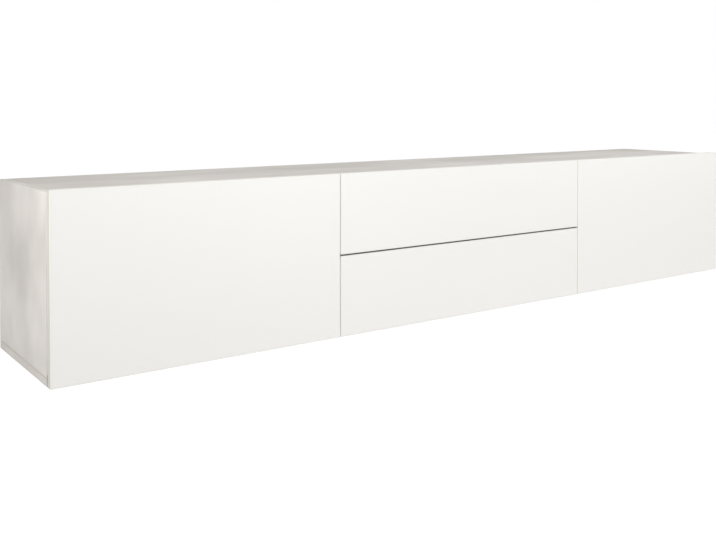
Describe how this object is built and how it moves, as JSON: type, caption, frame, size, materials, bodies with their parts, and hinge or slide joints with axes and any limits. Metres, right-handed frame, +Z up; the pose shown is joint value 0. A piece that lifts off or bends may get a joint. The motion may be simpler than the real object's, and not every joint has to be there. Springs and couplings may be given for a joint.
{
  "type": "wall-hung media cabinet",
  "caption": "Long low wall-hung media cabinet in white lacquer, with a drop-down flap at each end and push-open drawers stacked between them.",
  "frame": {"origin": "on the back face of the wall rail, on the cabinet's centre line and at the rail's mid-height, so the wall is the plane Y = 0", "axes": "+X along the cabinet's width, +Y into the wall, +Z up"},
  "size_m": [2, 0.34, 0.3545],
  "materials": {
    "front_lacquer": "smooth warm white lacquer with a soft gloss on board",
    "carcass_lacquer": "satin warm white lacquer on board",
    "drawer_board": "matte white melamine board",
    "zinc_plated_steel": "bright zinc plated, lightly brushed",
    "grey_nylon": "moulded satin nylon",
    "latch_plastic": "moulded light grey plastic"
  },
  "bodies": {
    "cabinet": {"bottom_panel": "carcass_lacquer", "top_panel": "carcass_lacquer", "left_side_panel": "carcass_lacquer", "right_side_panel": "carcass_lacquer", "left_divider": "carcass_lacquer", "right_divider": "carcass_lacquer", "left_back_panel": "carcass_lacquer", "center_back_panel": "carcass_lacquer", "right_back_panel": "carcass_lacquer", "wall_rail": "zinc_plated_steel", "left_outer_hanger": "zinc_plated_steel", "left_inner_hanger": "zinc_plated_steel", "right_inner_hanger": "zinc_plated_steel", "right_outer_hanger": "zinc_plated_steel", "left_hinge_fixed_leaf": "zinc_plated_steel", "left_hinge_pin": "zinc_plated_steel", "left_stay_side_bracket": "zinc_plated_steel", "left_latch_body": "latch_plastic", "right_hinge_fixed_leaf": "zinc_plated_steel", "right_hinge_pin": "zinc_plated_steel", "right_stay_side_bracket": "zinc_plated_steel", "right_latch_body": "latch_plastic", "upper_drawer_latch_body": "latch_plastic", "upper_left_runner_cabinet_member": "zinc_plated_steel", "upper_right_runner_cabinet_member": "zinc_plated_steel", "lower_drawer_latch_body": "latch_plastic", "lower_left_runner_cabinet_member": "zinc_plated_steel", "lower_right_runner_cabinet_member": "zinc_plated_steel"},
    "left_flap": {"left_flap": "front_lacquer", "left_hinge_flap_leaf": "zinc_plated_steel", "left_stay_flap_bracket": "zinc_plated_steel"},
    "left_stay_rod": {"left_stay_rod": "zinc_plated_steel"},
    "left_stay_guide": {"left_stay_guide": "grey_nylon"},
    "left_latch_pin": {"left_latch_pin": "latch_plastic"},
    "right_flap": {"right_flap": "front_lacquer", "right_hinge_flap_leaf": "zinc_plated_steel", "right_stay_flap_bracket": "zinc_plated_steel"},
    "right_stay_rod": {"right_stay_rod": "zinc_plated_steel"},
    "right_stay_guide": {"right_stay_guide": "grey_nylon"},
    "right_latch_pin": {"right_latch_pin": "latch_plastic"},
    "upper_drawer": {"upper_drawer_front": "front_lacquer", "upper_drawer_left_side": "drawer_board", "upper_drawer_right_side": "drawer_board", "upper_drawer_back": "drawer_board", "upper_drawer_bottom": "drawer_board", "upper_left_runner_drawer_member": "zinc_plated_steel", "upper_right_runner_drawer_member": "zinc_plated_steel"},
    "upper_drawer_latch_pin": {"upper_drawer_latch_pin": "latch_plastic"},
    "upper_left_runner_middle": {"upper_left_runner_middle_member": "zinc_plated_steel"},
    "upper_right_runner_middle": {"upper_right_runner_middle_member": "zinc_plated_steel"},
    "lower_drawer": {"lower_drawer_front": "front_lacquer", "lower_drawer_left_side": "drawer_board", "lower_drawer_right_side": "drawer_board", "lower_drawer_back": "drawer_board", "lower_drawer_bottom": "drawer_board", "lower_left_runner_drawer_member": "zinc_plated_steel", "lower_right_runner_drawer_member": "zinc_plated_steel"},
    "lower_drawer_latch_pin": {"lower_drawer_latch_pin": "latch_plastic"},
    "lower_left_runner_middle": {"lower_left_runner_middle_member": "zinc_plated_steel"},
    "lower_right_runner_middle": {"lower_right_runner_middle_member": "zinc_plated_steel"}
  },
  "joints": [
    {"name": "left_flap", "type": "hinge", "parent": "cabinet", "child": "left_flap", "pos_m": [-0.68963, -0.322, -0.3023], "axis": [1, 0, 0], "range_deg": [0, 90]},
    {"name": "left_stay_rod", "type": "hinge", "parent": "left_flap", "child": "left_stay_rod", "pos_m": [-0.9714, -0.31, -0.15386], "axis": [1, 0, 0], "range_deg": [-45, 0]},
    {"name": "left_stay_guide", "type": "hinge", "parent": "cabinet", "child": "left_stay_guide", "pos_m": [-0.9714, -0.24754, -0.17333], "axis": [1, 0, 0], "range_deg": [0, 45]},
    {"name": "left_latch_pin", "type": "slide", "parent": "cabinet", "child": "left_latch_pin", "axis": [0, 1, 0], "range_m": [0, 0.0025], "stiffness_N_per_m": 400, "springref_m": -0.005},
    {"name": "right_flap", "type": "hinge", "parent": "cabinet", "child": "right_flap", "pos_m": [0.68963, -0.322, -0.3023], "axis": [1, 0, 0], "range_deg": [0, 90]},
    {"name": "right_stay_rod", "type": "hinge", "parent": "right_flap", "child": "right_stay_rod", "pos_m": [0.9714, -0.31, -0.15386], "axis": [1, 0, 0], "range_deg": [-45, 0]},
    {"name": "right_stay_guide", "type": "hinge", "parent": "cabinet", "child": "right_stay_guide", "pos_m": [0.9714, -0.24754, -0.17333], "axis": [1, 0, 0], "range_deg": [0, 45]},
    {"name": "right_latch_pin", "type": "slide", "parent": "cabinet", "child": "right_latch_pin", "axis": [0, 1, 0], "range_m": [0, 0.0025], "stiffness_N_per_m": 400, "springref_m": -0.005},
    {"name": "upper_drawer", "type": "slide", "parent": "cabinet", "child": "upper_drawer", "axis": [0, -1, 0], "range_m": [0, 0.25]},
    {"name": "upper_left_runner_middle", "type": "slide", "parent": "cabinet", "child": "upper_left_runner_middle", "axis": [0, -1, 0], "range_m": [0, 0.125]},
    {"name": "upper_right_runner_middle", "type": "slide", "parent": "cabinet", "child": "upper_right_runner_middle", "axis": [0, -1, 0], "range_m": [0, 0.125]},
    {"name": "upper_drawer_latch_pin", "type": "slide", "parent": "cabinet", "child": "upper_drawer_latch_pin", "axis": [0, 1, 0], "range_m": [0, 0.0025], "stiffness_N_per_m": 400, "springref_m": -0.005},
    {"name": "lower_drawer", "type": "slide", "parent": "cabinet", "child": "lower_drawer", "axis": [0, -1, 0], "range_m": [0, 0.25]},
    {"name": "lower_left_runner_middle", "type": "slide", "parent": "cabinet", "child": "lower_left_runner_middle", "axis": [0, -1, 0], "range_m": [0, 0.125]},
    {"name": "lower_right_runner_middle", "type": "slide", "parent": "cabinet", "child": "lower_right_runner_middle", "axis": [0, -1, 0], "range_m": [0, 0.125]},
    {"name": "lower_drawer_latch_pin", "type": "slide", "parent": "cabinet", "child": "lower_drawer_latch_pin", "axis": [0, 1, 0], "range_m": [0, 0.0025], "stiffness_N_per_m": 400, "springref_m": -0.005}
  ],
  "couplings": [
    {"joint": "left_stay_rod", "follows": "left_flap", "ratio": -0.5},
    {"joint": "left_stay_guide", "follows": "left_flap", "ratio": 0.5},
    {"joint": "right_stay_rod", "follows": "right_flap", "ratio": -0.5},
    {"joint": "right_stay_guide", "follows": "right_flap", "ratio": 0.5},
    {"joint": "upper_left_runner_middle", "follows": "upper_drawer", "ratio": 0.5},
    {"joint": "upper_right_runner_middle", "follows": "upper_drawer", "ratio": 0.5},
    {"joint": "lower_left_runner_middle", "follows": "lower_drawer", "ratio": 0.5},
    {"joint": "lower_right_runner_middle", "follows": "lower_drawer", "ratio": 0.5}
  ]
}
